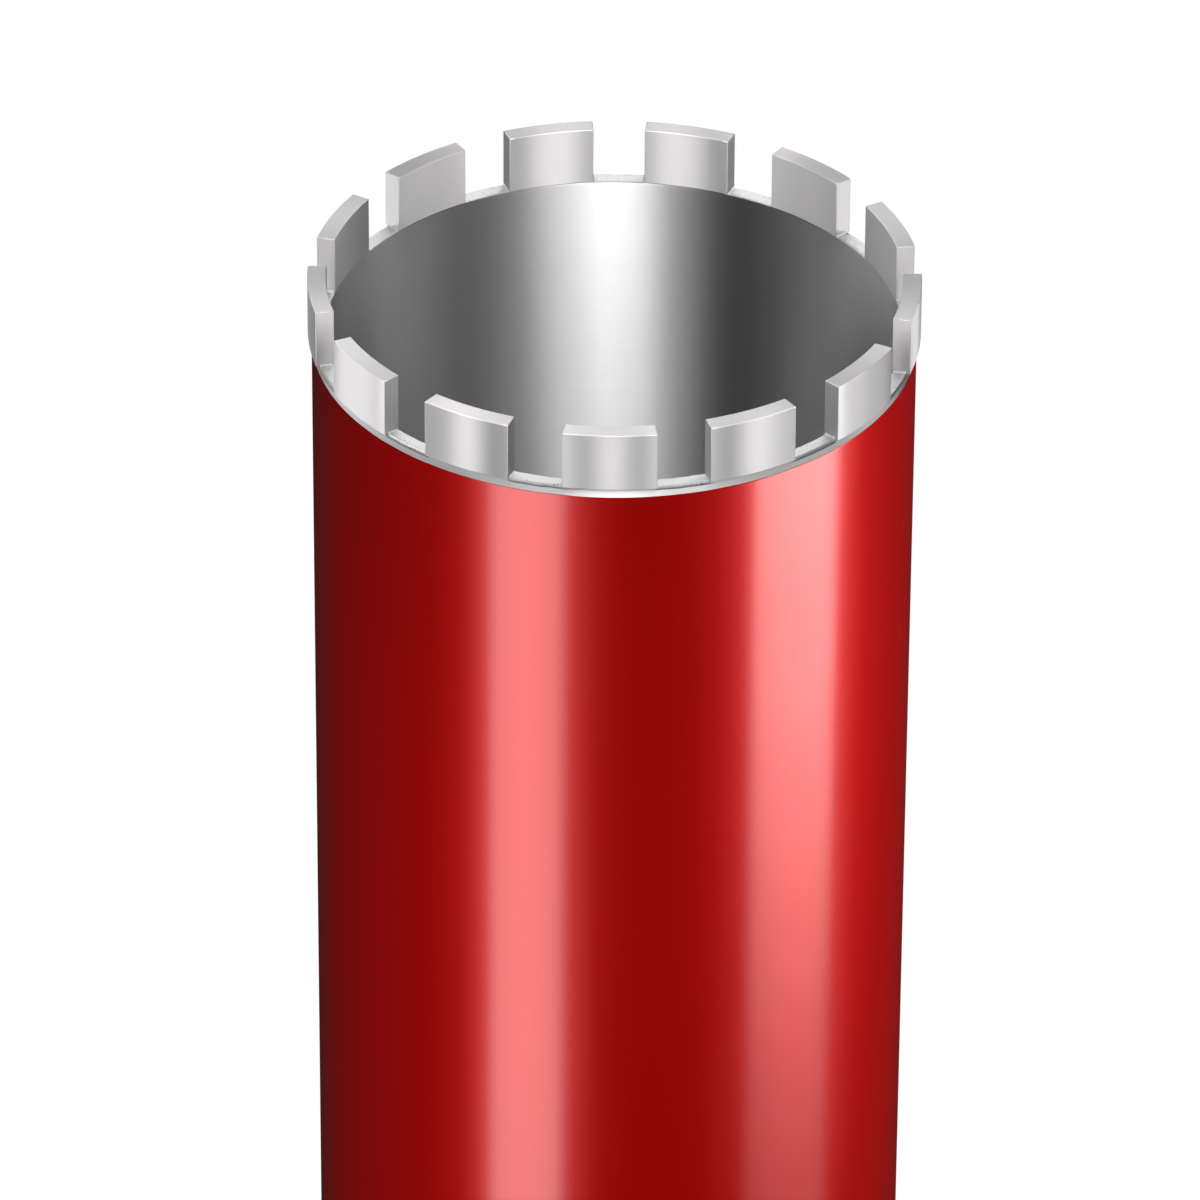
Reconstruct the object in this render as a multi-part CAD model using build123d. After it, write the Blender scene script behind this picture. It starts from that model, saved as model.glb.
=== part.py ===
from build123d import *
import os
from math import degrees, radians, sqrt, tan

# Diamond core bit for wet drilling: a painted steel tube with a ring of brazed
# diamond segments at its open end, closed at the other end by a welded back
# plate with a threaded hexagonal hub for the drill's spindle.
#
# Frame: origin at the middle of the hub's end face, +Z along the bit towards the
# segments, first segment centred on the -Y side. Sizes are in millimetres and
# angles in degrees.

# Bit as it is sold: cut diameter and usable tube length
bit_diameter = 162.0
tube_length = 450.0

# Tube, with a bare band under the rim where the paint stops
tube_wall = 3.8
rim_edge_break = 0.3
bare_band_height = 2.8
paint_step = 0.12

# Diamond segments: how far they stand proud of the tube, and their own size
segment_count = 13
segment_length = 24.0
segment_height = 16.4
segment_outer_clearance = 1.0
segment_inner_clearance = 0.2
segment_corner_chamfer = 0.4
segment_edge_chamfer = 0.3
first_segment_angle = -90.0

# Braze under each segment and at its two ends
braze_thickness = 0.1
braze_fillet_leg = 1.2
braze_set_in = 0.2

# Back plate that closes the tube
plate_thickness = 8.0
plate_spigot_length = 4.0
plate_spigot_clearance = 0.1
plate_face_chamfer = 1.5

# Hub: wrench hexagon, round neck through the back plate, bore for the thread
hub_across_flats = 41.0
hub_hexagon_length = 26.0
hub_hexagon_chamfer_angle = 30.0
hub_neck_diameter = 40.0
hub_neck_length = 8.0
hub_neck_clearance = 0.05
hub_bore_diameter = 28.0
hub_mouth_diameter = 34.0

# Welds, turned flush around the tube and left as a fillet around the hub
tube_weld_bevel = 2.2
hub_weld_leg = 5.0

# Heights, from the hub's end face up
plate_base = hub_hexagon_length + hub_neck_length
tube_base = plate_base + plate_thickness
spigot_top = tube_base + plate_spigot_length
rim_height = tube_base + tube_length
band_base = rim_height - bare_band_height
segment_base = rim_height + braze_thickness

# Radii of the tube and the ring of segments
segment_outer_radius = bit_diameter / 2
tube_outer_radius = segment_outer_radius - segment_outer_clearance
tube_inner_radius = tube_outer_radius - tube_wall
band_radius = tube_outer_radius - paint_step
segment_inner_radius = tube_inner_radius - segment_inner_clearance
segment_mean_radius = (segment_outer_radius + segment_inner_radius) / 2

# Flat of the rim, which carries the braze
rim_flat_inner_radius = tube_inner_radius + rim_edge_break
rim_flat_outer_radius = band_radius - rim_edge_break

# Angles around the crown
segment_half_angle = degrees(segment_length / segment_mean_radius) / 2
segment_pitch = 360 / segment_count


def turned(profile):
    """Solid of revolution about Z of a closed profile of (radius, height) points."""
    outline = Polyline(*[(radius, 0, height) for radius, height in profile], close=True)
    return revolve(make_face(outline), Axis.Z)


def sector(inner_radius, outer_radius, half_angle):
    """Face between two concentric arcs in the XY plane, centred on +X."""
    outer = CenterArc((0, 0), outer_radius, -half_angle, 2 * half_angle)
    inner = CenterArc((0, 0), inner_radius, -half_angle, 2 * half_angle)
    return make_face([outer, inner, Line(outer @ 0, inner @ 0), Line(outer @ 1, inner @ 1)])


def core_tube():
    """Steel tube: weld bevel at its base, bare band and broken edges at its rim."""
    return turned([
        (tube_inner_radius, tube_base),
        (tube_outer_radius - tube_weld_bevel, tube_base),
        (tube_outer_radius, tube_base + tube_weld_bevel),
        (tube_outer_radius, band_base),
        (band_radius, band_base + paint_step),
        (band_radius, rim_height - rim_edge_break),
        (rim_flat_outer_radius, rim_height),
        (rim_flat_inner_radius, rim_height),
        (tube_inner_radius, rim_height - rim_edge_break),
    ])


def diamond_segment(angle):
    """Sintered block curved to the bit's diameter, with broken corners and cutting edges."""
    block = extrude(sector(segment_inner_radius, segment_outer_radius, segment_half_angle), segment_height)
    block = chamfer(block.edges().filter_by(Axis.Z), segment_corner_chamfer)
    block = chamfer(block.edges().group_by(Axis.Z)[-1], segment_edge_chamfer)
    return Rot(Z=angle) * Pos(Z=segment_base) * block


def braze_fillet(side):
    """Run of braze in the corner between the rim and one end face of a segment."""
    run_start = rim_flat_inner_radius + braze_set_in
    run_end = rim_flat_outer_radius - braze_set_in
    section = Polyline(
        (0, 0, 0),
        (0, side * braze_fillet_leg, 0),
        (0, 0, braze_fillet_leg),
        close=True,
    )
    run = extrude(make_face(section), run_end - run_start, dir=(1, 0, 0))
    return Rot(Z=side * segment_half_angle) * Pos(X=run_start) * run


def segment_braze(angle):
    """Braze of one segment: a film under its foot, drawn out into a fillet at each end."""
    film = extrude(sector(rim_flat_inner_radius, rim_flat_outer_radius, segment_half_angle), braze_thickness)
    braze = film + braze_fillet(1) + braze_fillet(-1)
    return Rot(Z=angle) * Pos(Z=rim_height) * braze


def back_plate():
    """Turned disc with a weld bevel, a spigot inside the tube and a hole for the hub's neck."""
    hole_radius = hub_neck_diameter / 2 + hub_neck_clearance
    spigot_radius = tube_inner_radius - plate_spigot_clearance
    return turned([
        (hole_radius, plate_base),
        (tube_outer_radius - plate_face_chamfer, plate_base),
        (tube_outer_radius, plate_base + plate_face_chamfer),
        (tube_outer_radius, tube_base - tube_weld_bevel),
        (tube_outer_radius - tube_weld_bevel, tube_base),
        (spigot_radius, tube_base),
        (spigot_radius, spigot_top),
        (hole_radius, spigot_top),
    ])


def spindle_hub():
    """Wrench hexagon with turned corners, a round neck, and a bore with a wide mouth for the thread."""
    flat_radius = hub_across_flats / 2
    corner_radius = hub_across_flats / sqrt(3)
    corner_drop = (corner_radius - flat_radius) * tan(radians(hub_hexagon_chamfer_angle))
    hexagon = extrude(RegularPolygon(flat_radius, 6, major_radius=False), hub_hexagon_length)
    hexagon &= turned([
        (0, 0),
        (flat_radius, 0),
        (corner_radius, corner_drop),
        (corner_radius, hub_hexagon_length),
        (0, hub_hexagon_length),
    ])
    neck_reach = spigot_top - hub_hexagon_length
    neck = Pos(Z=hub_hexagon_length) * extrude(Circle(hub_neck_diameter / 2), neck_reach)
    bore_radius = hub_bore_diameter / 2
    mouth_radius = hub_mouth_diameter / 2
    bore = turned([
        (0, 0),
        (mouth_radius, 0),
        (bore_radius, mouth_radius - bore_radius),
        (bore_radius, spigot_top),
        (0, spigot_top),
    ])
    return hexagon + neck - bore


def tube_weld():
    """Weld metal in the V groove between tube and back plate, turned flush with both."""
    return turned([
        (tube_outer_radius - tube_weld_bevel, tube_base),
        (tube_outer_radius, tube_base - tube_weld_bevel),
        (tube_outer_radius, tube_base + tube_weld_bevel),
    ])


def hub_weld():
    """Fillet weld around the hub's neck, against the outside of the back plate."""
    neck_radius = hub_neck_diameter / 2
    return turned([
        (neck_radius, plate_base),
        (neck_radius, plate_base - hub_weld_leg),
        (neck_radius + hub_weld_leg, plate_base),
    ])


def write(node, shape):
    """Write one sub-part as a STEP file named after its node."""
    shape.label = node
    export_step(shape, os.path.join("parts", node + ".step"))


os.makedirs("parts", exist_ok=True)
for sub_part in (core_tube, back_plate, spindle_hub, tube_weld, hub_weld):
    write(sub_part.__name__, sub_part())
for index in range(segment_count):
    place = first_segment_angle + index * segment_pitch
    write(f"segment_{index + 1:02d}", diamond_segment(place))
    write(f"braze_{index + 1:02d}", segment_braze(place))
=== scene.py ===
from math import cos, pi, radians, sin, sqrt, tan

import bmesh
import bpy
import numpy as np
from mathutils import Matrix, Vector


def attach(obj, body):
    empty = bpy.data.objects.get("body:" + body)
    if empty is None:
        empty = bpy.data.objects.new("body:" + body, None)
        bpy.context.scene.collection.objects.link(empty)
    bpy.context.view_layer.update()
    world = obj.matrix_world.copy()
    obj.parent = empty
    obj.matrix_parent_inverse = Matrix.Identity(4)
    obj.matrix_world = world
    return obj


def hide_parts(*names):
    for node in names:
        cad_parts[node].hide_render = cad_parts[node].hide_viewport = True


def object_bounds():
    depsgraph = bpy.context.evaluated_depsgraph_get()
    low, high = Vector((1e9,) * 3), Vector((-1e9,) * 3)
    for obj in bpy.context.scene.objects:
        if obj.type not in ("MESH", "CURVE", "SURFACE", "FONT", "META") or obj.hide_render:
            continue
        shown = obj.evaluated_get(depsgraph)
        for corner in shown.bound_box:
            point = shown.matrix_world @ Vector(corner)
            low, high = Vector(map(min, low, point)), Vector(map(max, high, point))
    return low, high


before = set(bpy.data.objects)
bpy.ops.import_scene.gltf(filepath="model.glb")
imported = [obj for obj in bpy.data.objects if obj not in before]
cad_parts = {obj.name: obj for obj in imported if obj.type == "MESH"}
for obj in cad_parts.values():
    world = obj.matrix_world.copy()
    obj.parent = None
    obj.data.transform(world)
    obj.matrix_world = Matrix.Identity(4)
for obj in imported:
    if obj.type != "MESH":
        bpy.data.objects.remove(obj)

scene = bpy.context.scene
cadLow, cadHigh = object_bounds()        # the box of the CAD model, before anything is replaced
mm = 0.001        # everything is in metres, small features are given in millimetres
segmentCount = sum(name.startswith("segment_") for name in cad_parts)


def nodeSpan(name):
    # inner and outer radius, lowest and highest point of a CAD node
    points = np.array([vertex.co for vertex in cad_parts[name].data.vertices])
    reach = np.hypot(points[:, 0], points[:, 1])
    angle = np.arctan2(points[:, 0], -points[:, 1])        # from -Y towards +X
    return {"inner": float(reach.min()), "outer": float(reach.max()), "halfAngle": float(angle.max()),
            "low": float(points[:, 2].min()), "high": float(points[:, 2].max())}


tubeSpan = nodeSpan("core_tube")
plateSpan = nodeSpan("back_plate")
weldSpan = nodeSpan("tube_weld")
hubWeldSpan = nodeSpan("hub_weld")
hubSpan = nodeSpan("spindle_hub")
segmentSpan = nodeSpan("segment_01")        # the segment on the -Y side
print("frame loaded,", segmentCount, "segments")


# Small helpers

def toLinear(hexColour):
    # the colours are written as sRGB hex, the shaders work in linear light
    channels = [int(hexColour[i:i + 2], 16) / 255 for i in (1, 3, 5)]
    return [c / 12.92 if c <= 0.04045 else ((c + 0.055) / 1.055) ** 2.4 for c in channels] + [1.0]


def addNode(tree, kind, settings=None, inputs=None):
    # settings are the node's own options, inputs are values or the sockets that feed it
    node = tree.nodes.new(kind)
    for name, value in (settings or {}).items():
        setattr(node, name, value)
    for name, value in (inputs or {}).items():
        if isinstance(value, bpy.types.NodeSocket):
            tree.links.new(value, node.inputs[name])
        else:
            node.inputs[name].default_value = value
    return node


def startMaterial(name):
    material = bpy.data.materials.new(name)
    material.use_nodes = True
    material.node_tree.nodes.clear()
    return material, material.node_tree


def startGeometryTree(name, sizes):
    # a Geometry Nodes tree with one named input for each size; whole numbers become integer inputs
    tree = bpy.data.node_groups.new(name, "GeometryNodeTree")
    tree.interface.new_socket(name="Geometry", in_out="INPUT", socket_type="NodeSocketGeometry")
    tree.interface.new_socket(name="Geometry", in_out="OUTPUT", socket_type="NodeSocketGeometry")
    for label, value in sizes.items():
        kind = "NodeSocketInt" if isinstance(value, int) else "NodeSocketFloat"
        tree.interface.new_socket(name=label, in_out="INPUT", socket_type=kind)
    return tree, addNode(tree, "NodeGroupInput")


def endGeometryTree(tree, geometry, material):
    real = addNode(tree, "GeometryNodeRealizeInstances", {}, {"Geometry": geometry})
    dressed = addNode(tree, "GeometryNodeSetMaterial", {},
                      {"Geometry": real.outputs[0], "Material": material})
    addNode(tree, "NodeGroupOutput", {}, {"Geometry": dressed.outputs[0]})


def addPiece(name, mesh, sharpAngle=32):
    # links the mesh as a piece, with its faces outwards; edges that turn by more than sharpAngle stay crisp
    shape = bmesh.new()
    shape.from_mesh(mesh)
    bmesh.ops.recalc_face_normals(shape, faces=shape.faces)
    shape.to_mesh(mesh)
    shape.free()
    mesh.shade_smooth()
    mesh.set_sharp_from_angle(angle=radians(sharpAngle))
    mesh.name = name
    piece = bpy.data.objects.new(name, mesh)
    scene.collection.objects.link(piece)
    return piece


def runGeometryTree(name, tree, sizes, startMesh, sharpAngle=32):
    # sets the modifier's inputs, then keeps the result as a plain mesh
    host = bpy.data.objects.new(name + "Host", startMesh)
    scene.collection.objects.link(host)
    modifier = host.modifiers.new("grow", "NODES")
    modifier.node_group = tree
    for item in tree.interface.items_tree:
        if item.in_out == "INPUT" and item.name in sizes:
            modifier[item.identifier] = sizes[item.name]
    graph = bpy.context.evaluated_depsgraph_get()
    mesh = bpy.data.meshes.new_from_object(host.evaluated_get(graph))
    host.modifiers.remove(modifier)
    bpy.data.objects.remove(host)
    return addPiece(name, mesh, sharpAngle)


# Camera, as the photograph was taken: long lens, looking a third of the way down

cameraView = {
    "azimuth": 0.82,        # degrees from -Y towards +X
    "pitch": 32.63,        # degrees below the horizon
    "roll": -0.34,        # degrees
    "distance": 2.838,        # m from the point it aims at
    "lens": 316.95,        # mm, on a sensor 36 mm wide
    "aimBelowRim": 0.08535,        # m
    "aimAside": -0.00334,        # m, towards the camera's right
}


def makeCamera(view):
    turn = radians(view["azimuth"])
    pitch = radians(view["pitch"])
    roll = radians(view["roll"])
    forward = Vector((-sin(turn) * cos(pitch), cos(turn) * cos(pitch), -sin(pitch)))
    right = Vector((cos(turn), sin(turn), 0))
    down = forward.cross(right)
    rolledRight = right * cos(roll) + down * sin(roll)
    rolledDown = down * cos(roll) - right * sin(roll)
    aim = right * view["aimAside"] + Vector((0, 0, tubeSpan["high"] - view["aimBelowRim"]))
    data = bpy.data.cameras.new("photoCamera")
    data.sensor_width = 36
    data.lens = view["lens"]
    data.clip_start = 0.05
    data.clip_end = 60
    camera = bpy.data.objects.new("photoCamera", data)
    scene.collection.objects.link(camera)
    axes = Matrix((rolledRight, -rolledDown, -forward)).transposed()
    camera.matrix_world = Matrix.Translation(aim - forward * view["distance"]) @ axes.to_4x4()
    scene.camera = camera


makeCamera(cameraView)
print("camera set")


# Materials

quarterTurn = 0.25        # a metal's sheen spreads across the marks of turning

redEnamel = {
    "colour": "#BB0A07",
    "deepColour": "#B40806",
    "metallic": 0.5,        # the flake in the enamel, which gives the wide bands their red
    "roughness": 0.4,
    "coatIor": 1.58,
    "coatRoughness": 0.19,        # the clear gloss, which gives them their pale middle
    "orangePeelSize": 1.6,        # mm from one bump of the sprayed film to the next
    "orangePeelHeight": 0.0006,        # mm
    "cloudScale": 14.0,        # per metre, the faint unevenness of the spray
}

turnedSteel = {
    "colour": "#BCBCBC",
    "darkColour": "#B6B6B6",
    "roughness": 0.46,
    "anisotropy": 1.0,
    "lineSpacing": 0.45,        # mm; the real lines are near 0.1 mm, too fine to show
    "lineStretch": 6.0,        # per metre, how slowly a line changes along its length
    "satinSpread": 0.012,        # how far the roughness goes up and down from line to line
}

sinteredBond = {
    "colour": "#C9C7C8",
    "darkColour": "#BFBDBE",
    "shadedEndColour": "#A9A7A8",        # painted shade: the ends are drawn darker than the faces, over the dull skin of the press
    "roughness": 0.42,
    "endRoughness": 0.45,
    "anisotropy": 1.0,
    "grainSize": 0.35,        # mm, the grit of the pressed powder, drawn coarser than it is
    "pitDepth": 0.004,        # mm
    "endShadeFade": (0.45, 0.75),        # how far a face looks along the ring before the painted shade of the ends begins, and where it is full; the corner bevels take it as thin dark lines
}

silverBraze = {
    "colour": "#CACAC9",
    "fluxColour": "#7D7268",
    "roughness": 0.6,
    "rippleSize": 0.9,        # mm
    "rippleHeight": 0.03,        # mm
    # the part of the ripple above which it browns; lower is browner
    "brownedAbove": {"silverBrazeAsSet": 0.62, "silverBrazeFluxed": 0.4},
    "brownedFade": 0.13,
}


def layDirection(tree, point):
    # the marks of turning and grinding run round the bit's axis, and across it on the ends of a part
    facing = addNode(tree, "ShaderNodeTexCoord").outputs["Normal"]
    outward = addNode(tree, "ShaderNodeVectorMath", {"operation": "NORMALIZE"}, {0: point})
    lean = (0.2, 0.2, 0.0)        # keeps a direction on the level faces, where the normal alone has none
    leaning = addNode(tree, "ShaderNodeVectorMath", {"operation": "MULTIPLY_ADD"},
                      {0: outward.outputs[0], 1: lean, 2: facing})
    crossed = addNode(tree, "ShaderNodeVectorMath", {"operation": "CROSS_PRODUCT"},
                      {0: (0, 0, 1), 1: leaning.outputs[0]})
    return addNode(tree, "ShaderNodeVectorMath", {"operation": "NORMALIZE"}, {0: crossed.outputs[0]}).outputs[0]


def makeRedEnamel(look):
    # gloss enamel sprayed on a steel tube: deep red, with soft coral bands where lamps show in it
    material, tree = startMaterial("redEnamelSprayed")
    point = addNode(tree, "ShaderNodeTexCoord").outputs["Object"]
    cloud = addNode(tree, "ShaderNodeTexNoise", {},
                    {"Vector": point, "Scale": look["cloudScale"], "Detail": 2.0})
    colour = addNode(tree, "ShaderNodeMix", {"data_type": "RGBA"},
                     {0: cloud.outputs["Fac"], 6: toLinear(look["deepColour"]), 7: toLinear(look["colour"])})
    peel = addNode(tree, "ShaderNodeTexNoise", {},
                   {"Vector": point, "Scale": 1 / (look["orangePeelSize"] * mm), "Detail": 1.0})
    film = addNode(tree, "ShaderNodeBump", {},
                   {"Strength": 1.0, "Distance": look["orangePeelHeight"] * mm, "Height": peel.outputs["Fac"]})
    shader = addNode(tree, "ShaderNodeBsdfPrincipled", {}, {
        "Base Color": colour.outputs[2], "Metallic": look["metallic"], "Roughness": look["roughness"],
        "Specular IOR Level": 0.0, "Coat Weight": 1.0, "Coat IOR": look["coatIor"],
        "Coat Roughness": look["coatRoughness"],
        "Normal": film.outputs[0], "Coat Normal": film.outputs[0]})
    addNode(tree, "ShaderNodeOutputMaterial", {}, {"Surface": shader.outputs[0]})
    return material


def makeTurnedSteel(look):
    # bare steel turned or honed round its axis: satin, with upright bands of light
    material, tree = startMaterial("turnedSteelBare")
    point = addNode(tree, "ShaderNodeTexCoord").outputs["Object"]
    along, across = look["lineStretch"], 1 / (look["lineSpacing"] * mm)
    stretched = addNode(tree, "ShaderNodeMapping", {}, {"Vector": point, "Scale": (along, along, across)})
    lines = addNode(tree, "ShaderNodeTexNoise", {},
                    {"Vector": stretched.outputs[0], "Scale": 1.0, "Detail": 2.0})
    colour = addNode(tree, "ShaderNodeMix", {"data_type": "RGBA"},
                     {0: lines.outputs["Fac"], 6: toLinear(look["darkColour"]), 7: toLinear(look["colour"])})
    satin = addNode(tree, "ShaderNodeMapRange", {},
                    {"Value": lines.outputs["Fac"], "To Min": look["roughness"] - look["satinSpread"],
                     "To Max": look["roughness"] + look["satinSpread"]})
    shader = addNode(tree, "ShaderNodeBsdfPrincipled", {}, {
        "Base Color": colour.outputs[2], "Metallic": 1.0, "Roughness": satin.outputs[0],
        "Anisotropic": look["anisotropy"], "Anisotropic Rotation": quarterTurn,
        "Tangent": layDirection(tree, point)})
    addNode(tree, "ShaderNodeOutputMaterial", {}, {"Surface": shader.outputs[0]})
    return material


def makeSinteredBond(look):
    # diamond bond pressed and sintered, then ground round: pale satin with a fine grain
    material, tree = startMaterial("sinteredDiamondBond")
    point = addNode(tree, "ShaderNodeTexCoord").outputs["Object"]
    grain = addNode(tree, "ShaderNodeTexNoise", {},
                    {"Vector": point, "Scale": 1 / (look["grainSize"] * mm), "Detail": 2.0, "Roughness": 0.6})
    colour = addNode(tree, "ShaderNodeMix", {"data_type": "RGBA"},
                     {0: grain.outputs["Fac"], 6: toLinear(look["darkColour"]), 7: toLinear(look["colour"])})
    pitted = addNode(tree, "ShaderNodeBump", {},
                     {"Strength": 1.0, "Distance": look["pitDepth"] * mm, "Height": grain.outputs["Fac"]})
    facing = addNode(tree, "ShaderNodeTexCoord").outputs["Normal"]
    around = addNode(tree, "ShaderNodeVectorMath", {"operation": "CROSS_PRODUCT"}, {0: (0, 0, 1), 1: point})
    along = addNode(tree, "ShaderNodeVectorMath", {"operation": "NORMALIZE"}, {0: around.outputs[0]})
    squarely = addNode(tree, "ShaderNodeVectorMath", {"operation": "DOT_PRODUCT"},
                       {0: facing, 1: along.outputs[0]})
    amount = addNode(tree, "ShaderNodeMath", {"operation": "ABSOLUTE"}, {0: squarely.outputs["Value"]})
    # painted shade: faces that look along the ring, the ends and the bevels at their corners, get the darker
    # colour; the duller roughness is the pressed skin
    ends = addNode(tree, "ShaderNodeMapRange", {}, {"Value": amount.outputs[0], "From Min": look["endShadeFade"][0],
                                                    "From Max": look["endShadeFade"][1]})
    skin = addNode(tree, "ShaderNodeMix", {"data_type": "RGBA"},
                   {0: ends.outputs[0], 6: colour.outputs[2], 7: toLinear(look["shadedEndColour"])})
    satin = addNode(tree, "ShaderNodeMix", {"data_type": "FLOAT"},
                    {0: ends.outputs[0], 2: look["roughness"], 3: look["endRoughness"]})
    shader = addNode(tree, "ShaderNodeBsdfPrincipled", {}, {
        "Base Color": skin.outputs[2], "Metallic": 1.0, "Roughness": satin.outputs[0],
        "Anisotropic": look["anisotropy"], "Anisotropic Rotation": quarterTurn,
        "Tangent": layDirection(tree, point), "Normal": pitted.outputs[0]})
    addNode(tree, "ShaderNodeOutputMaterial", {}, {"Surface": shader.outputs[0]})
    return material


def makeSilverBraze(name, look):
    # silver solder as it set after brazing: bright and lumpy, browned where flux stayed on it
    material, tree = startMaterial(name)
    point = addNode(tree, "ShaderNodeTexCoord").outputs["Object"]
    ripple = addNode(tree, "ShaderNodeTexNoise", {},
                     {"Vector": point, "Scale": 1 / (look["rippleSize"] * mm), "Detail": 3.0})
    browned = look["brownedAbove"][name]
    flux = addNode(tree, "ShaderNodeMapRange", {}, {"Value": ripple.outputs["Fac"], "From Min": browned,
                                                    "From Max": browned + look["brownedFade"]})
    colour = addNode(tree, "ShaderNodeMix", {"data_type": "RGBA"},
                     {0: flux.outputs[0], 6: toLinear(look["colour"]), 7: toLinear(look["fluxColour"])})
    skin = addNode(tree, "ShaderNodeBump", {},
                   {"Strength": 1.0, "Distance": look["rippleHeight"] * mm, "Height": ripple.outputs["Fac"]})
    shader = addNode(tree, "ShaderNodeBsdfPrincipled", {}, {
        "Base Color": colour.outputs[2], "Metallic": 1.0, "Roughness": look["roughness"],
        "Normal": skin.outputs[0]})
    addNode(tree, "ShaderNodeOutputMaterial", {}, {"Surface": shader.outputs[0]})
    return material


enamelMaterial = makeRedEnamel(redEnamel)
steelMaterial = makeTurnedSteel(turnedSteel)
bondMaterial = makeSinteredBond(sinteredBond)
brazeMaterial = makeSilverBraze("silverBrazeAsSet", silverBraze)
fluxMaterial = makeSilverBraze("silverBrazeFluxed", silverBraze)
print("materials made")


# Turned parts: a section of (radius, height) points, spun round the axis

def addSpin(tree, given):
    # sweeps the section round a circle
    outline = addNode(tree, "GeometryNodeMeshToCurve", {}, {"Mesh": given.outputs["Geometry"]})
    circle = addNode(tree, "GeometryNodeCurvePrimitiveCircle", {},
                     {"Resolution": given.outputs["Facets"], "Radius": given.outputs["Spin Radius"]})
    return addNode(tree, "GeometryNodeCurveToMesh", {},
                   {"Curve": circle.outputs["Curve"], "Profile Curve": outline.outputs[0]})


def addLooseNoise(tree, length, middle, amount):
    # a noise that goes up and down from its middle, by as much as a point's loose attribute lets it
    loose = addNode(tree, "GeometryNodeInputNamedAttribute", {"data_type": "FLOAT"}, {"Name": "loose"})
    place = addNode(tree, "GeometryNodeInputPosition")
    scale = addNode(tree, "ShaderNodeMath", {"operation": "DIVIDE"}, {0: 1.0, 1: length})
    noise = addNode(tree, "ShaderNodeTexNoise", {},
                    {"Vector": place.outputs[0], "Scale": scale.outputs[0], "Detail": 1.0})
    centred = addNode(tree, "ShaderNodeMath", {"operation": "SUBTRACT"}, {0: noise.outputs["Fac"], 1: middle})
    weighed = addNode(tree, "ShaderNodeMath", {"operation": "MULTIPLY"},
                      {0: centred.outputs[0], 1: loose.outputs["Attribute"]})
    return addNode(tree, "ShaderNodeMath", {"operation": "MULTIPLY"}, {0: weighed.outputs[0], 1: amount})


def makeTurnedTree(sizes, material):
    tree, given = startGeometryTree("turnedPart", sizes)
    spun = addSpin(tree, given)
    # loose points wander up and down a little, as the edge of a sprayed film does
    lift = addLooseNoise(tree, given.outputs["Wander Length"], 0.5, given.outputs["Wander"])
    upward = addNode(tree, "ShaderNodeCombineXYZ", {}, {"Z": lift.outputs[0]})
    moved = addNode(tree, "GeometryNodeSetPosition", {},
                    {"Geometry": spun.outputs[0], "Offset": upward.outputs[0]})
    endGeometryTree(tree, moved.outputs[0], material)
    return tree


turnedPart = {
    "facets": 260,
    "longWall": 2.0,        # mm; a longer wall gets a ring near each end, so that a corner shades only itself
    "ringInset": 0.3,        # mm
}


def spinSection(name, section, material, looseAbove=1.0, wander=0.0, wanderLength=10 * mm):
    # points higher than looseAbove may wander, and at 1 m none is
    inset = turnedPart["ringInset"] * mm
    points = []
    for one, two in zip(section, section[1:] + section[:1]):
        points.append(one)
        span = sqrt((two[0] - one[0]) ** 2 + (two[1] - one[1]) ** 2)
        if span > turnedPart["longWall"] * mm:
            for share in (inset / span, 1 - inset / span):
                points.append((one[0] + (two[0] - one[0]) * share, one[1] + (two[1] - one[1]) * share))
    spinRadius = min(radius for radius, height in points) / 2
    mesh = bpy.data.meshes.new(name + "Section")
    count = len(points)
    mesh.from_pydata([(radius - spinRadius, -height, 0) for radius, height in points],
                     [(i, (i + 1) % count) for i in range(count)], [])
    mark = mesh.attributes.new("loose", "FLOAT", "POINT")
    mark.data.foreach_set("value", [float(height > looseAbove) for radius, height in points])
    sizes = {"Facets": turnedPart["facets"], "Spin Radius": spinRadius,
             "Wander": wander, "Wander Length": wanderLength}
    return runGeometryTree(name, makeTurnedTree(sizes, material), sizes, mesh)


def roundCorner(radius, height, size, start, end, steps=4):
    # points of a quarter round about a centre, angles in degrees
    turns = [radians(start + (end - start) * i / steps) for i in range(steps + 1)]
    return [(radius + size * cos(a), height + size * sin(a)) for a in turns]


coreTube = {
    "rimBreak": 0.3,        # mm, the deburred edges of the rim
    "filmThickness": 0.12,        # mm, primer and enamel on the outside
    "bareBand": 2.8,        # mm from the rim to the edge of the paint
    "filmEdge": 0.1,        # mm, the soft top edge of the film
    "edgeWander": 0.25,        # mm, how unevenly the paint stops
    "edgeWanderLength": 9,        # mm from one such wave to the next
}


def makeBarrel(sizes):
    wall = tubeSpan["outer"] - sizes["filmThickness"] * mm
    bore = tubeSpan["inner"]
    rim = tubeSpan["high"]
    edge = sizes["rimBreak"] * mm
    bevel = tubeSpan["outer"] - weldSpan["inner"]
    section = [(bore, tubeSpan["low"]), (wall - bevel, tubeSpan["low"]), (wall, tubeSpan["low"] + bevel)]
    section += roundCorner(wall - edge, rim - edge, edge, 0, 90)
    section += roundCorner(bore + edge, rim - edge, edge, 90, 180)
    barrel = spinSection("barrelSteel", section, steelMaterial)
    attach(barrel, "root")
    return barrel


def makePaintCoat(sizes):
    inside = tubeSpan["outer"] - sizes["filmThickness"] * mm
    top = tubeSpan["high"] - sizes["bareBand"] * mm
    soft = sizes["filmEdge"] * mm
    bottom = tubeSpan["low"] + tubeSpan["outer"] - weldSpan["inner"]
    section = [(inside, bottom), (tubeSpan["outer"], bottom)]
    section += roundCorner(tubeSpan["outer"] - soft, top - soft, soft, 0, 90)
    section += [(inside, top)]
    coat = spinSection("paintCoat", section, enamelMaterial, top - 2 * soft, sizes["edgeWander"] * mm,
                       sizes["edgeWanderLength"] * mm)
    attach(coat, "root")
    return coat


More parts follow.
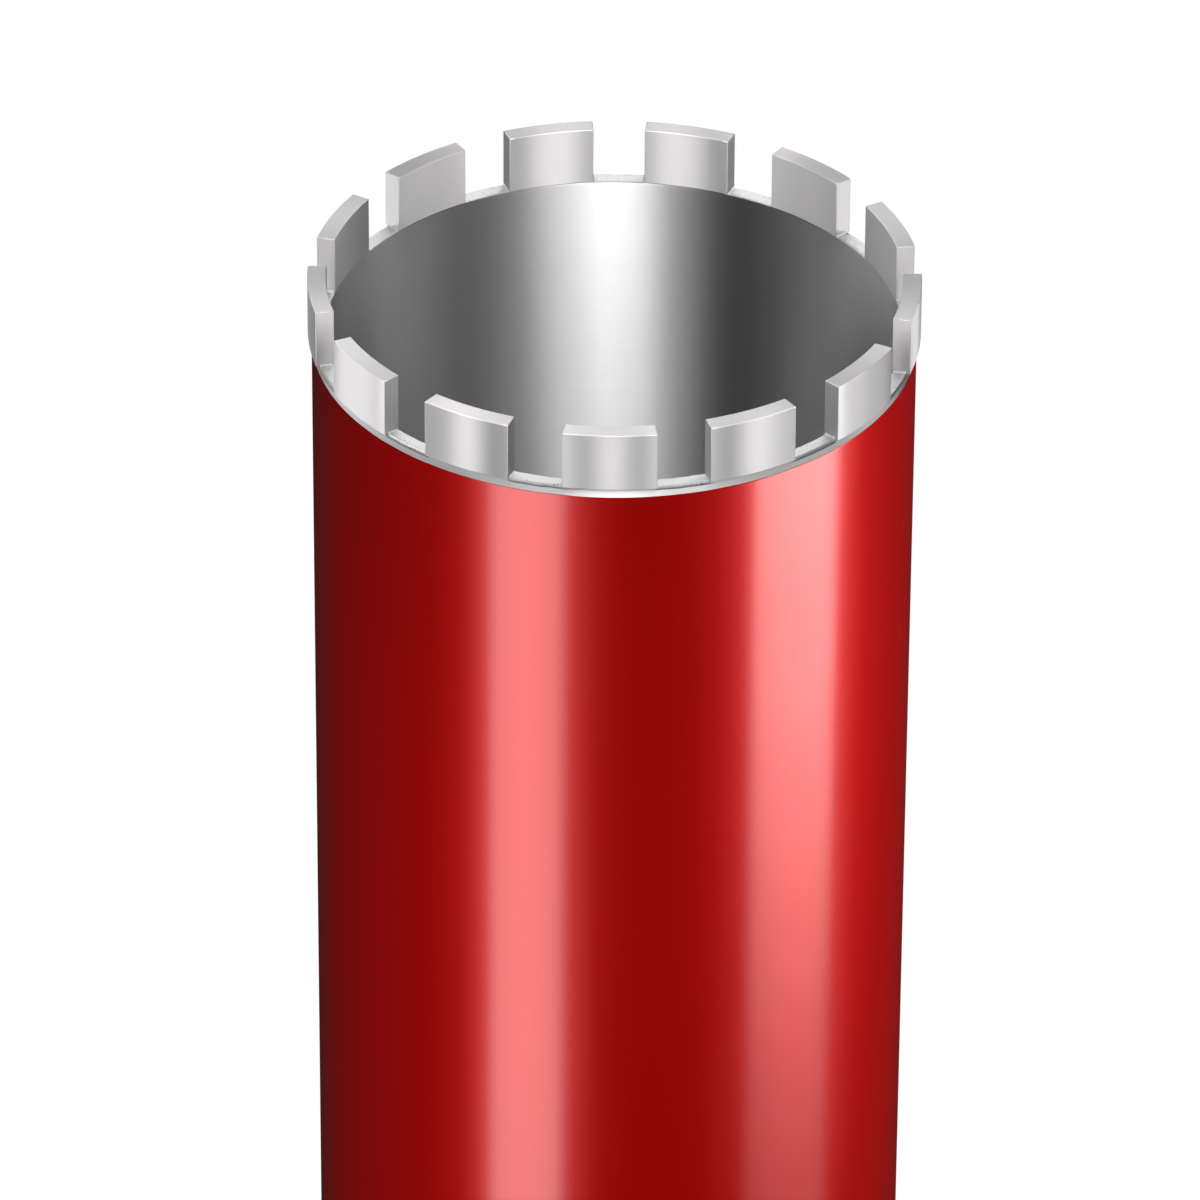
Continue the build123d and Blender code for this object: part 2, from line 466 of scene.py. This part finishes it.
barrelSteel = makeBarrel(coreTube)
paintCoat = makePaintCoat(coreTube)
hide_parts("core_tube")
print("tube and paint turned")


# Crown: one segment, set round the rim by Geometry Nodes

crown = {
    "edgeBreak": 0.22,        # mm, the dressed edges of the segments
    "sharpEdge": 45,        # degrees; an edge that turns by more is dressed
    "crispAngle": 20,        # degrees; an edge that turns by more looks crisp
    "angleSteps": 14,
    "seatError": 0.15,        # degrees that a segment may sit off its even place
    "seed": 12,
}


def makeSegmentMesh(sizes):
    shape = bmesh.new()
    corners = [(segmentSpan["inner"], segmentSpan["low"]), (segmentSpan["outer"], segmentSpan["low"]),
               (segmentSpan["outer"], segmentSpan["high"]), (segmentSpan["inner"], segmentSpan["high"])]
    rings = []
    for step in range(sizes["angleSteps"] + 1):
        angle = segmentSpan["halfAngle"] * (2 * step / sizes["angleSteps"] - 1)
        rings.append([shape.verts.new((r * sin(angle), -r * cos(angle), z)) for r, z in corners])
    for one, two in zip(rings, rings[1:]):
        for i in range(4):
            shape.faces.new((one[i], one[(i + 1) % 4], two[(i + 1) % 4], two[i]))
    shape.faces.new(rings[0])
    shape.faces.new(reversed(rings[-1]))
    bmesh.ops.recalc_face_normals(shape, faces=shape.faces)
    edges = [edge for edge in shape.edges if edge.calc_face_angle() > radians(sizes["sharpEdge"])]
    bmesh.ops.bevel(shape, geom=edges, offset=sizes["edgeBreak"] * mm, segments=2, profile=0.5, affect="EDGES")
    mesh = bpy.data.meshes.new("segmentTemplate")
    shape.to_mesh(mesh)
    shape.free()
    return mesh


def addRing(tree, given, template):
    # sets copies of a template round the axis, each turned by its number times the pitch
    spots = addNode(tree, "GeometryNodeMeshLine", {}, {"Count": given.outputs["Count"], "Offset": (0, 0, 0)})
    number = addNode(tree, "GeometryNodeInputIndex")
    pitch = addNode(tree, "ShaderNodeMath", {"operation": "DIVIDE"}, {0: 2 * pi, 1: given.outputs["Count"]})
    turn = addNode(tree, "ShaderNodeMath", {"operation": "MULTIPLY"},
                   {0: number.outputs[0], 1: pitch.outputs[0]})
    error = addNode(tree, "FunctionNodeRandomValue", {"data_type": "FLOAT"}, {
        2: -1.0, 3: 1.0, "Seed": given.outputs["Seed"]})
    shift = addNode(tree, "ShaderNodeMath", {"operation": "MULTIPLY"},
                    {0: error.outputs[1], 1: given.outputs["Seat Error"]})
    total = addNode(tree, "ShaderNodeMath", {"operation": "ADD"}, {0: turn.outputs[0], 1: shift.outputs[0]})
    spin = addNode(tree, "ShaderNodeCombineXYZ", {}, {"Z": total.outputs[0]})
    placed = addNode(tree, "GeometryNodeInstanceOnPoints", {},
                     {"Points": spots.outputs[0], "Instance": template, "Rotation": spin.outputs[0]})
    return placed.outputs[0]


def makeCrown(sizes):
    values = {"Count": segmentCount, "Seat Error": radians(sizes["seatError"]), "Seed": sizes["seed"]}
    tree, given = startGeometryTree("crownRing", values)
    endGeometryTree(tree, addRing(tree, given, given.outputs["Geometry"]), bondMaterial)
    segments = runGeometryTree("crownSegments", tree, values, makeSegmentMesh(sizes), sizes["crispAngle"])
    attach(segments, "root")
    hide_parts(*[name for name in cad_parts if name.startswith("segment_")])
    return segments


crownSegments = makeCrown(crown)
print("crown set")


# Braze: a lumpy run of metal on the rim between two segments, climbing their ends and
# hanging a little over the rim's outer edge

brazeRun = {
    # mm from the rim's outer corner: inwards, and up from the rim
    "section": ((3.62, 0.02), (3.4, 0.14), (2.8, 0.2), (2.1, 0.22), (1.4, 0.24), (0.8, 0.34), (0.4, 0.42),
                (0.05, 0.34), (-0.14, 0.06), (-0.18, -0.35), (-0.12, -0.8), (0.06, -1.1)),
    "climb": 1.1,        # mm, the fillet against the end of a segment
    "crest": (-0.05, 0.2),        # mm up from the rim where points begin to climb, and how much higher in full
    "buried": (0.5, -0.3),        # mm inwards and up that the underside keeps to
    "evenLump": 0.6,        # how lumpy the middle is, against 1 on the fillets
    "lump": 0.5,        # mm
    "lumpLength": 2.4,        # mm
    "tuck": 0.3,        # mm that the metal reaches into the segment's end
    "steps": 72,
    "seed": 11,
}

footBead = {
    "drop": 0.12,        # mm from the rim down to the middle of the bead
    "radius": 0.26,        # mm, the metal squeezed out under the overhang
    "reach": 0.985,        # of the segment's length
    "lump": 0.25,        # mm
    "lumpLength": 1.3,        # mm
    "steps": 60,
    "sides": 8,
    "seed": 5,
}


def ringPoint(angle, radius, height):
    return (radius * sin(angle), -radius * cos(angle), height)


def makeRowsMesh(name, rows, weights):
    # rows are closed sections of equal length, one after the other; the first and last are capped
    width = len(rows[0])
    mesh = bpy.data.meshes.new(name)
    faces = [(i * width + j, i * width + (j + 1) % width,
              (i + 1) * width + (j + 1) % width, (i + 1) * width + j)
             for i in range(len(rows) - 1) for j in range(width)]
    faces += [tuple(range(width)), tuple((len(rows) - 1) * width + j for j in range(width - 1, -1, -1))]
    mesh.from_pydata([point for row in rows for point in row], [], faces)
    mark = mesh.attributes.new("loose", "FLOAT", "POINT")        # how lumpy a point may be
    mark.data.foreach_set("value", [weight for row in weights for weight in row])
    return mesh


def makeBrazeMesh(sizes):
    corner = tubeSpan["outer"] - coreTube["filmThickness"] * mm
    rim = tubeSpan["high"]
    start = segmentSpan["halfAngle"] - sizes["tuck"] * mm / corner
    end = 2 * pi / segmentCount - start
    climb = sizes["climb"] * mm
    buriedInwards, buriedUp = sizes["buried"]
    count = len(sizes["section"])
    rows, weights = [], []
    for i in range(sizes["steps"] + 1):
        share = (1 - cos(pi * i / sizes["steps"])) / 2        # closer rows near the segments
        angle = start + (end - start) * share
        clear = min(share, 1 - share) * (end - start) * corner
        fall = max(0.0, climb - clear)
        fillet = climb - sqrt(climb ** 2 - fall ** 2)
        row, weight = [], []
        for j, (inwards, up) in enumerate(sizes["section"]):
            crest = min(1.0, max(0.0, (up - sizes["crest"][0]) / sizes["crest"][1]))
            row.append(ringPoint(angle, corner - inwards * mm, rim + up * mm + fillet * crest))
            lumpy = sizes["evenLump"] + (1 - sizes["evenLump"]) * fall / climb
            weight.append(0.0 if j in (0, count - 1) else lumpy)
        for inwards, up in reversed(sizes["section"]):
            row.append(ringPoint(angle, corner - max(inwards, buriedInwards) * mm,
                                 rim + min(up, buriedUp) * mm))
            weight.append(0.0)
        rows.append(row)
        weights.append(weight)
    return makeRowsMesh("brazeTemplate", rows, weights)


def makeFootMesh(sizes):
    middle = tubeSpan["outer"] - coreTube["filmThickness"] * mm
    height = tubeSpan["high"] - sizes["drop"] * mm
    turns = [2 * pi * j / sizes["sides"] for j in range(sizes["sides"])]
    rows = []
    for i in range(sizes["steps"] + 1):
        angle = segmentSpan["halfAngle"] * sizes["reach"] * (2 * i / sizes["steps"] - 1)
        rows.append([ringPoint(angle, middle + sizes["radius"] * mm * cos(turn),
                               height + sizes["radius"] * mm * sin(turn)) for turn in turns])
    return makeRowsMesh("footTemplate", rows, [[1.0] * sizes["sides"] for row in rows])


def makeLumpRing(name, sizes, template, material):
    # sets the template round the rim, and lifts its loose points by a noise that differs at each place
    values = {"Count": segmentCount, "Seat Error": 0.0, "Seed": sizes["seed"], "Lump": sizes["lump"] * mm,
              "Lump Length": sizes["lumpLength"] * mm}
    tree, given = startGeometryTree(name + "Tree", values)
    ring = addRing(tree, given, given.outputs["Geometry"])
    real = addNode(tree, "GeometryNodeRealizeInstances", {}, {"Geometry": ring})
    outOfMiddle = 0.46        # a little under the noise's middle, so that there are more lumps than dips
    lift = addLooseNoise(tree, given.outputs["Lump Length"], outOfMiddle, given.outputs["Lump"])
    facing = addNode(tree, "GeometryNodeInputNormal")
    swell = addNode(tree, "ShaderNodeVectorMath", {"operation": "SCALE"},
                    {0: facing.outputs[0], "Scale": lift.outputs[0]})
    moved = addNode(tree, "GeometryNodeSetPosition", {},
                    {"Geometry": real.outputs[0], "Offset": swell.outputs[0]})
    endGeometryTree(tree, moved.outputs[0], material)
    piece = runGeometryTree(name, tree, values, template)
    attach(piece, "root")
    return piece


brazeRuns = makeLumpRing("brazeRuns", brazeRun, makeBrazeMesh(brazeRun), brazeMaterial)
footBeads = makeLumpRing("footBeads", footBead, makeFootMesh(footBead), fluxMaterial)
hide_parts(*[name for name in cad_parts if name.startswith("braze_")])
print("braze laid")


# Hub: rows of points round the axis, up the outside and down the threaded bore

hub = {
    "acrossFlats": 41.0,        # mm
    "hexagonLength": 26.0,        # mm from the end face to the neck
    "chamferAngle": 30.0,        # degrees
    "neckRadius": 20.0,        # mm
    "threadPitch": 25.4 / 7,        # mm, seven turns to the inch
    "threadMajor": 31.75,        # mm across
    "threadFlat": 0.125,        # of the pitch, at crest and root
    "threadInset": 0.5,        # mm from the neck's end to the first turn
    "mouthRadius": 17.0,        # mm
    "shoulderBreak": 0.3,        # mm
    "crispAngle": 25,        # degrees
    "columns": 192,
    "rowsPerTurn": 10,
}


def closeRows(name, rows, material, sharpAngle):
    # rows are closed rings of points; the last ring joins the first
    columns = len(rows[0])
    points = [point for row in rows for point in row]
    faces = []
    for i in range(len(rows)):
        above = (i + 1) % len(rows)
        for j in range(columns):
            side = (j + 1) % columns
            faces.append((i * columns + j, i * columns + side, above * columns + side, above * columns + j))
    mesh = bpy.data.meshes.new(name)
    mesh.from_pydata(points, [], faces)
    mesh.materials.append(material)
    return addPiece(name, mesh, sharpAngle)


def makeHub(sizes):
    turns = [2 * pi * j / sizes["columns"] for j in range(sizes["columns"])]
    flat = sizes["acrossFlats"] / 2 * mm
    slope = tan(radians(sizes["chamferAngle"]))
    top = hubSpan["high"]
    shoulder = sizes["hexagonLength"] * mm
    bore = hubSpan["inner"]
    mouth = sizes["mouthRadius"] * mm

    def hexRadius(angle):
        return flat / cos((angle + pi / 6) % (pi / 3) - pi / 6)

    def ring(radiusAt, heightAt):
        return [(radiusAt(a) * cos(a), radiusAt(a) * sin(a), heightAt(a)) for a in turns]

    edge = sizes["shoulderBreak"] * mm
    apart = 0.01 * mm        # so that the chamfer never lies on the end face
    rows = [ring(lambda a: flat, lambda a: 0.0)]
    rows.append(ring(hexRadius, lambda a: (hexRadius(a) - flat) * slope + apart))
    rows.append(ring(hexRadius, lambda a: shoulder - edge))
    rows.append(ring(lambda a: hexRadius(a) - edge, lambda a: shoulder))
    for radius, height in ((sizes["neckRadius"] * mm, shoulder), (sizes["neckRadius"] * mm, top), (bore, top)):
        rows.append(ring(lambda a: radius, lambda a: height))
    depth = (sizes["threadMajor"] * mm / 2 - bore)
    pitch = sizes["threadPitch"] * mm
    rootFlat = sizes["threadFlat"]
    start = top - sizes["threadInset"] * mm
    end = mouth - bore
    count = int((start - end) / pitch * sizes["rowsPerTurn"])
    for i in range(count + 1):
        height = start + (end - start) * i / count

        def thread(angle):
            # a sixty degree form with flats, which fades in at the neck's end
            phase = (height / pitch - angle / (2 * pi)) % 1
            tooth = min(1.0, max(0.0, (abs(phase - 0.5) * 2 - rootFlat) / (1 - 2 * rootFlat)))
            fade = min(1.0, (start - height) / pitch)
            return bore + depth * tooth * fade

        rows.append(ring(thread, lambda a: height))
    rows.append(ring(lambda a: mouth, lambda a: 0.0))
    piece = closeRows("spindleHub", rows, steelMaterial, sizes["crispAngle"])
    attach(piece, "root")
    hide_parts("spindle_hub")
    return piece


spindleHub = makeHub(hub)
print("hub threaded")


# Back plate: bare inside the tube, painted with the tube outside

backPlate = {
    "thickness": 8.0,        # mm
    "faceChamfer": 1.5,        # mm
    "spigotClearance": 0.1,        # mm
    "spigotChamfer": 0.5,        # mm
}


def makePlate(sizes):
    film = coreTube["filmThickness"] * mm
    hole, wall, low, high = plateSpan["inner"], plateSpan["outer"] - film, plateSpan["low"], plateSpan["high"]
    face = low + sizes["thickness"] * mm
    bevel = plateSpan["outer"] - weldSpan["inner"]
    edge = sizes["faceChamfer"] * mm
    spigot = tubeSpan["inner"] - sizes["spigotClearance"] * mm
    lead = sizes["spigotChamfer"] * mm
    outside = [(hole, low + film), (wall - edge, low + film), (wall, low + film + edge), (wall, face - bevel)]
    steel = spinSection("backPlateSteel", outside + [
        (wall - bevel, face), (spigot, face), (spigot, high - lead), (spigot - lead, high), (hole, high)],
        steelMaterial)
    paint = spinSection("backPlatePaint", outside + [
        (wall + film, face - bevel), (wall + film, low + edge), (wall + film - edge, low), (hole, low)],
        enamelMaterial)
    for piece, slot in ((steel, "turned_steel"), (paint, "red_paint")):
        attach(piece, "root")
    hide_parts("back_plate")
    return steel, paint


backPlateSteel, backPlatePaint = makePlate(backPlate)


# Weld beads: laid in overlapping pools round the tube and the hub, then painted

weldBead = {
    "rippleLength": 2.2,        # mm from one pool to the next
    "rippleHeight": 0.3,        # mm
    "crown": 0.35,        # mm that the tube's bead stands proud
    "rootDepth": 0.3,        # mm, how far the root lies inside the V or the corner
    "toeReach": 0.2,        # mm past the edges of the V
    "toeSink": 0.05,        # mm into the metal, so that the toes show no gap
    "collarCrest": 0.56,        # of the way out and down, the middle of the hub's bead
    "steps": 10,
    "facets": 1500,
}


def makeBeadTree(sizes):
    tree, given = startGeometryTree("weldBead", sizes)
    spun = addSpin(tree, given)
    # each pool is a crescent: it leads in the middle of the bead and trails at its toes
    spot = addNode(tree, "GeometryNodeInputPosition")
    place = addNode(tree, "ShaderNodeSeparateXYZ", {}, {0: spot.outputs[0]})
    turn = addNode(tree, "ShaderNodeMath", {"operation": "ARCTAN2"}, {0: place.outputs[1], 1: place.outputs[0]})
    each = addNode(tree, "ShaderNodeMath", {"operation": "DIVIDE"}, {0: given.outputs["Pools"], 1: 2 * pi})
    loose = addNode(tree, "GeometryNodeInputNamedAttribute", {"data_type": "FLOAT"}, {"Name": "loose"})
    phase = addNode(tree, "ShaderNodeMath", {"operation": "MULTIPLY_ADD"},
                    {0: turn.outputs[0], 1: each.outputs[0], 2: loose.outputs["Attribute"]})
    within = addNode(tree, "ShaderNodeMath", {"operation": "FRACT"}, {0: phase.outputs[0]})
    swell = addNode(tree, "ShaderNodeMath", {"operation": "POWER"}, {0: within.outputs[0], 1: 2.0})
    weighed = addNode(tree, "ShaderNodeMath", {"operation": "MULTIPLY"},
                      {0: swell.outputs[0], 1: loose.outputs["Attribute"]})
    height = addNode(tree, "ShaderNodeMath", {"operation": "MULTIPLY"},
                     {0: weighed.outputs[0], 1: given.outputs["Ripple Height"]})
    facing = addNode(tree, "GeometryNodeInputNormal")
    offset = addNode(tree, "ShaderNodeVectorMath", {"operation": "SCALE"},
                     {0: facing.outputs[0], "Scale": height.outputs[0]})
    moved = addNode(tree, "GeometryNodeSetPosition", {},
                    {"Geometry": spun.outputs[0], "Offset": offset.outputs[0]})
    endGeometryTree(tree, moved.outputs[0], enamelMaterial)
    return tree


def makeBead(name, node, root, toes, crest, sizes):
    # root, toes and crest are (radius, height); the face is an arc from toe to toe through the crest
    spinRadius = root[0] / 2
    arc = []
    for i in range(sizes["steps"] + 1):
        share = i / sizes["steps"]
        weights = ((1 - share) * (1 - 2 * share), 4 * share * (1 - share), share * (2 * share - 1))
        arc.append([sum(w * point[k] for w, point in zip(weights, (toes[0], crest, toes[1]))) for k in (0, 1)])
    points = [root] + arc
    mesh = bpy.data.meshes.new(name + "Section")
    mesh.from_pydata([(radius - spinRadius, -height, 0) for radius, height in points],
                     [(i, (i + 1) % len(points)) for i in range(len(points))], [])
    mark = mesh.attributes.new("loose", "FLOAT", "POINT")
    mark.data.foreach_set("value", [0.0] + [sin(pi * i / sizes["steps"]) for i in range(sizes["steps"] + 1)])
    values = {"Facets": sizes["facets"], "Spin Radius": spinRadius, "Ripple Height": sizes["rippleHeight"] * mm,
              "Pools": round(2 * pi * crest[0] / (sizes["rippleLength"] * mm))}
    bead = runGeometryTree(name, makeBeadTree(values), values, mesh)
    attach(bead, "root")
    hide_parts(node)
    return bead


def makeWelds(sizes):
    proud, root, reach, sink = (sizes[key] * mm for key in ("crown", "rootDepth", "toeReach", "toeSink"))
    inner, outer, low, high = (weldSpan[key] for key in ("inner", "outer", "low", "high"))
    seam = makeBead("tubeWeldBead", "tube_weld", (inner + root, (low + high) / 2),
                    ((outer - sink, low - reach), (outer - sink, high + reach)),
                    (outer + proud, (low + high) / 2), sizes)
    inner, outer, low, high = (hubWeldSpan[key] for key in ("inner", "outer", "low", "high"))
    crest = (inner + (outer - inner) * sizes["collarCrest"], high - (high - low) * sizes["collarCrest"])
    collar = makeBead("hubWeldBead", "hub_weld", (inner - root, high + root),
                      ((inner - sink, low), (outer, high + sink)), crest, sizes)
    return seam, collar


tubeWeldBead, hubWeldBead = makeWelds(weldBead)
print("plate and welds made")


# Studio: a pale floor, a white background and soft lamps

studio = {
    "floorColour": "#F2F2F2",
    "floorSize": 24.0,        # m
    "shadowReach": (0.16, 0.3),        # m from the axis where the floor turns from its own colour to white
    "mirroredShare": 0.015,        # how much of the white shows in gloss and metal; more washes out the red
    "ambient": 0.03,        # light from all round on the object
    "floorGap": 0.05,        # mm under the hub
}


def addBackdrop(tree, look):
    # white to the camera, and only a little of it in mirrors and as light on the object
    rays = addNode(tree, "ShaderNodeLightPath")
    mirrored = addNode(tree, "ShaderNodeMath", {"operation": "MAXIMUM"},
                       {0: rays.outputs["Is Glossy Ray"], 1: rays.outputs["Is Transmission Ray"]})
    around = addNode(tree, "ShaderNodeMix", {"data_type": "FLOAT"},
                     {0: mirrored.outputs[0], 2: look["ambient"], 3: look["mirroredShare"]})
    strength = addNode(tree, "ShaderNodeMix", {"data_type": "FLOAT"},
                       {0: rays.outputs["Is Camera Ray"], 2: around.outputs[0], 3: 1.0})
    return rays.outputs["Is Camera Ray"], strength.outputs[0]


def makeFloor(look):
    # its own pale colour near the object, where the shadow falls, and the background's white further out
    material, tree = startMaterial("studioFloorPale")
    seen, strength = addBackdrop(tree, look)
    place = addNode(tree, "ShaderNodeTexCoord")
    reach = addNode(tree, "ShaderNodeVectorMath", {"operation": "LENGTH"}, {0: place.outputs["Object"]})
    far = addNode(tree, "ShaderNodeMapRange", {"interpolation_type": "SMOOTHSTEP"},
                  {"Value": reach.outputs["Value"], "From Min": look["shadowReach"][0],
                   "From Max": look["shadowReach"][1]})
    unseen = addNode(tree, "ShaderNodeMath", {"operation": "SUBTRACT"}, {0: 1.0, 1: seen})
    share = addNode(tree, "ShaderNodeMath", {"operation": "MAXIMUM"}, {0: far.outputs[0], 1: unseen.outputs[0]})
    natural = addNode(tree, "ShaderNodeBsdfDiffuse", {}, {"Color": toLinear(look["floorColour"])})
    white = addNode(tree, "ShaderNodeEmission", {}, {"Color": (1, 1, 1, 1), "Strength": strength})
    mixed = addNode(tree, "ShaderNodeMixShader", {},
                    {0: share.outputs[0], 1: natural.outputs[0], 2: white.outputs[0]})
    addNode(tree, "ShaderNodeOutputMaterial", {}, {"Surface": mixed.outputs[0]})
    half = look["floorSize"] / 2
    mesh = bpy.data.meshes.new("studioFloor")
    corners = [(-half, -half, 0), (half, -half, 0), (half, half, 0), (-half, half, 0)]
    mesh.from_pydata(corners, [], [(0, 1, 2, 3)])
    mesh.materials.append(material)
    floor = bpy.data.objects.new("studioFloor", mesh)
    floor.location.z = cadLow.z - look["floorGap"] * mm
    scene.collection.objects.link(floor)
    return floor


def makeWorld(look):
    world = bpy.data.worlds.new("studioWorld")
    world.use_nodes = True
    tree = world.node_tree
    tree.nodes.clear()
    strength = addBackdrop(tree, look)[1]
    light = addNode(tree, "ShaderNodeBackground", {}, {"Color": (1, 1, 1, 1), "Strength": strength})
    addNode(tree, "ShaderNodeOutputWorld", {}, {"Surface": light.outputs[0]})
    scene.world = world


# Every lamp is a soft panel that reaches one group of pieces. Azimuth and elevation are in degrees,
# azimuth from -Y towards +X. Wide and tall are in degrees too, as the object sees the panel, and
# brightness is what the panel itself would show, with white as 1. The groups are named in makeReceivers.

# upright strips: azimuth, distance from the axis in m, wide, low and high in m, brightness
strips = {
    "paint": {
        "leftBand": (-28.8, 0.35, 26, 0, 0.6, 3.7),
        "leftGlow": (-28.5, 0.37, 44, 0, 0.6, 0.2),
        "rightBand1": (68.5, 0.35, 36, 0, 0.07, 0.7),
        "rightBand2": (68.5, 0.35, 36, 0.07, 0.12, 1.2),
        "rightBand3": (68.5, 0.35, 36, 0.12, 0.17, 2.1),
        "rightBand4": (68.5, 0.35, 36, 0.17, 0.22, 3.2),
        "rightBand5": (68.5, 0.35, 36, 0.22, 0.28, 4.5),
        "rightBand6": (68.5, 0.35, 36, 0.28, 0.6, 5.6),
        "rightGlow": (69, 0.37, 60, 0, 0.6, 0.08),
        "rearBand": (180, 0.35, 22, 0, 0.6, 4),
    },
    "barrel": {
        "edgeFarLeft": (-103, 0.4, 28, 0.1, 0.46, 2.1),
        "edgeLeft": (-70, 0.4, 38, 0.1, 0.46, 2.1),
        "edgeNearLeft": (-36, 0.4, 30, 0.1, 0.46, 2.7),
        "edgeMid": (3, 0.4, 48, 0.1, 0.46, 0.15),
        "edgeNearRight": (47, 0.4, 40, 0.1, 0.46, 2.2),
        "edgeRight": (92, 0.4, 50, 0.1, 0.46, 1.9),
        "edgeRear": (180, 0.4, 70, 0.1, 0.46, 1.5),
    },
    "hub": {
        "hubLeft": (-60, 0.36, 100, 0, 0.2, 3.5),
        "hubRight": (60, 0.36, 100, 0, 0.2, 5.5),
        "hubRear": (180, 0.36, 100, 0, 0.2, 4.5),
    },
    "under": {
        "underLeft": (-60, 0.38, 100, 0, 0.2, 1.1),
        "underRight": (60, 0.38, 100, 0, 0.2, 1.3),
        "underRear": (180, 0.38, 100, 0, 0.2, 1.2),
    },
}

# panels all round the middle of the rim: azimuth, elevation, wide, tall, brightness
panelDistance = 1.2        # m
panels = {
    "bore": {
        "boreKey": (-5, 50, 20, 30, 11),
        "boreKeyRight": (15, 50, 20, 30, 8.8),
        "boreKeyLeft": (-25, 50, 20, 30, 3.8),
        "boreRight": (30, 50, 10, 30, 4.4),
        "boreFarRight": (45, 50, 20, 30, 2),
        "boreSideRight": (85, 50, 60, 30, 0.9),
        "boreKeyLow": (2, 20, 26, 30, 5.2),
        "boreRightLow": (26, 20, 18, 30, 2.1),
        "boreBackRight": (118, 20, 40, 30, 0.9),
        "boreBackLeft": (-122, 20, 44, 30, 1.6),
    },
    "crown": {
        "crownMidLow": (0, -15, 10, 36, 2.8),
        "crownMid": (0, 25, 10, 36, 3.4),
        "crownLeftLow": (-50, -15, 10, 36, 4.3),
        "crownRightLow": (50, -15, 10, 36, 2.5),
        "crownNearLeft": (-25, 25, 20, 36, 6.6),
        "crownNearRight": (25, 25, 20, 36, 6.2),
        "crownMidRight": (35, 37, 24, 20, 2.2),
        "crownLeft": (-60, 37, 24, 20, 3.6),
        "crownRight": (55, 25, 20, 36, 2.6),
        "crownSideLeft": (-81, -20, 10, 30, 10.7),
        "crownSideRight": (81, -20, 10, 30, 10.9),
        "crownFarLeft": (-102.5, -20, 23, 30, 5),
        "crownFarRight": (102.5, -20, 23, 30, 3),
        "crownEndRight": (135, -20, 12, 30, 4),
        "crownHighLeft": (-72.5, 15, 49, 24, 1.9),
        "crownHighRight": (72.5, 15, 49, 24, 3.4),
        "crownSlopeLeft": (-120, 37, 24, 20, 1.5),
        "crownBackLeft": (-150, 37, 30, 20, 3.2),
        "crownBackRight": (150, 37, 30, 20, 3.5),
        "crownRearLeft": (-140, 20, 60, 30, 0.7),
        "crownTopLeft": (-100, 60, 40, 24, 3.3),
        "crownTopMid": (0, 60, 40, 24, 5.7),
        "crownTopRight": (100, 60, 40, 24, 2),
        "crownTop": (0, 89, 60, 60, 1.1),
    },
    "braze": {
        "brazeFront": (0, -15, 100, 30, 1.6),
        "brazeLeft": (-72.5, 15, 49, 24, 5.5),
        "brazeRight": (35, 15, 24, 24, 3.4),
        "brazeBackLeft": (-150, 37, 30, 20, 3.4),
        "brazeBack": (180, 37, 30, 20, 2.5),
        "brazeBackRight": (150, 45, 40, 24, 3.2),
        "brazeTop": (0, 60, 40, 24, 5.6),
        "brazeTopRight": (100, 60, 40, 24, 3.3),
    },
    "floor": {
        "floorLight": (0, 89, 80, 80, 3.5),
    },
}


def makeReceivers(floor):
    groups = {
        "paint": [paintCoat, backPlatePaint, tubeWeldBead, hubWeldBead],
        "barrel": [barrelSteel],
        "hub": [spindleHub],
        "under": [hubWeldBead, backPlatePaint, floor],
        "bore": [barrelSteel, backPlateSteel, spindleHub],
        "crown": [crownSegments],
        "braze": [brazeRuns, footBeads],
        "floor": [floor],
    }
    collections = {}
    for name, pieces in groups.items():
        collections[name] = bpy.data.collections.new(name + "Receivers")
        for piece in pieces:
            collections[name].objects.link(piece)
    return collections


def addPanel(name, place, aim, size, brightness, receivers):
    data = bpy.data.lights.new(name, "AREA")
    data.shape = "RECTANGLE"
    data.size, data.size_y = size
    data.energy = brightness * pi * size[0] * size[1]
    light = bpy.data.objects.new(name, data)
    light.matrix_world = Matrix.Translation(place) @ (aim - place).to_track_quat("-Z", "Y").to_matrix().to_4x4()
    light.visible_camera = False
    light.light_linking.receiver_collection = receivers
    scene.collection.objects.link(light)


def makeLamps(floor):
    receivers = makeReceivers(floor)
    for group, lamps in strips.items():
        for name, (azimuth, distance, wide, low, high, brightness) in lamps.items():
            turn = radians(azimuth)
            middle = (low + high) / 2
            place = Vector((distance * sin(turn), -distance * cos(turn), middle))
            size = (2 * distance * tan(radians(wide / 2)), high - low)
            addPanel(name, place, Vector((0, 0, middle)), size, brightness, receivers[group])
    target = Vector((0, 0, tubeSpan["high"]))
    for group, lamps in panels.items():
        for name, (azimuth, elevation, wide, tall, brightness) in lamps.items():
            turn, lift = radians(azimuth), radians(elevation)
            place = target + panelDistance * Vector((sin(turn) * cos(lift), -cos(turn) * cos(lift), sin(lift)))
            size = [2 * panelDistance * tan(radians(angle / 2)) for angle in (wide, tall)]
            addPanel(name, place, target, size, brightness, receivers[group])


floor = makeFloor(studio)
makeWorld(studio)
makeLamps(floor)
scene.view_settings.view_transform = "Standard"
print("studio lit")

print("pieces finished")
